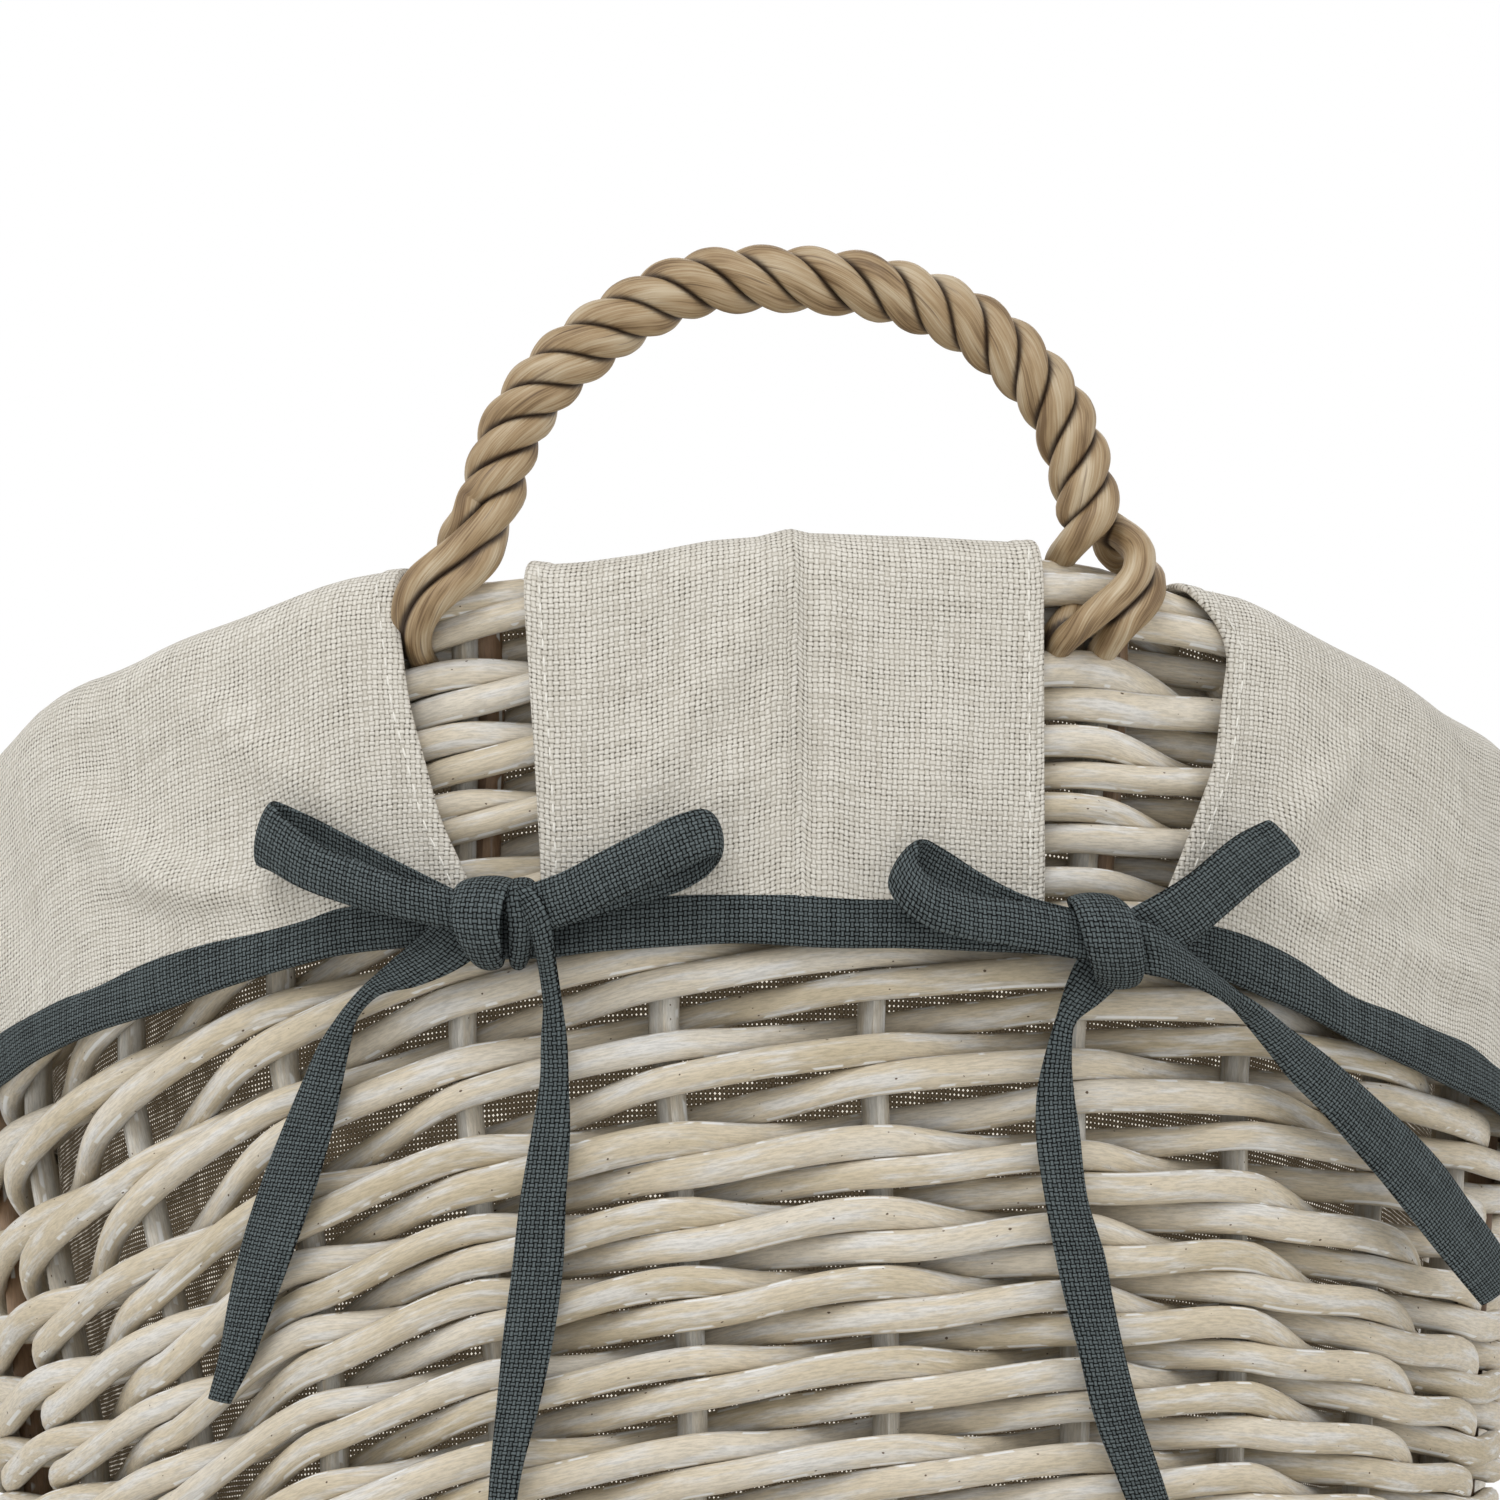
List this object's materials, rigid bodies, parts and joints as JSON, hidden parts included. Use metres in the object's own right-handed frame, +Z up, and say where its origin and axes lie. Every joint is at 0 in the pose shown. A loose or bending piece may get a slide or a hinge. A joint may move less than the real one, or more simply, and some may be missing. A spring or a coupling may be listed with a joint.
{
  "type": "storage basket",
  "caption": "Oval woven willow storage basket with a twisted rope handle at each end and a cloth liner turned over the rim and tied with tape bows.",
  "frame": {"origin": "middle of the footprint, on the surface that the basket stands on", "axes": "+Z up, Y along the oval's long way with a handle at each end, the pictured end faces -Y, X across"},
  "size_m": [0.4074, 0.4588, 0.3289],
  "materials": {
    "willow": "whitewashed peeled willow, matt",
    "rope_willow": "twisted tan willow, satin",
    "linen": "plain-woven linen-look cloth",
    "tape": "slate grey cotton tape"
  },
  "bodies": {
    "root": {"foot_wale": "willow", "base_mat": "willow", "stake_01": "willow", "stake_02": "willow", "stake_03": "willow", "stake_04": "willow", "stake_05": "willow", "stake_06": "willow", "stake_07": "willow", "stake_08": "willow", "stake_09": "willow", "stake_10": "willow", "stake_11": "willow", "stake_12": "willow", "stake_13": "willow", "stake_14": "willow", "stake_15": "willow", "stake_16": "willow", "stake_17": "willow", "stake_18": "willow", "stake_19": "willow", "stake_20": "willow", "stake_21": "willow", "stake_22": "willow", "stake_23": "willow", "stake_24": "willow", "stake_25": "willow", "stake_26": "willow", "stake_27": "willow", "stake_28": "willow", "weave_row_01": "willow", "weave_row_02": "willow", "weave_row_03": "willow", "weave_row_04": "willow", "weave_row_05": "willow", "weave_row_06": "willow", "weave_row_07": "willow", "weave_row_08": "willow", "weave_row_09": "willow", "weave_row_10": "willow", "weave_row_11": "willow", "weave_row_12": "willow", "weave_row_13": "willow", "inner_weave": "willow", "top_border": "willow", "handle_front": "rope_willow", "handle_back": "rope_willow", "liner_bag": "linen", "cuff_front": "linen", "cuff_back": "linen", "cuff_left": "linen", "cuff_right": "linen", "tape_front": "tape", "tape_back": "tape", "tape_left": "tape", "tape_right": "tape", "bow_front_left": "tape", "bow_front_right": "tape", "bow_back_left": "tape", "bow_back_right": "tape"}
  },
  "joints": []
}
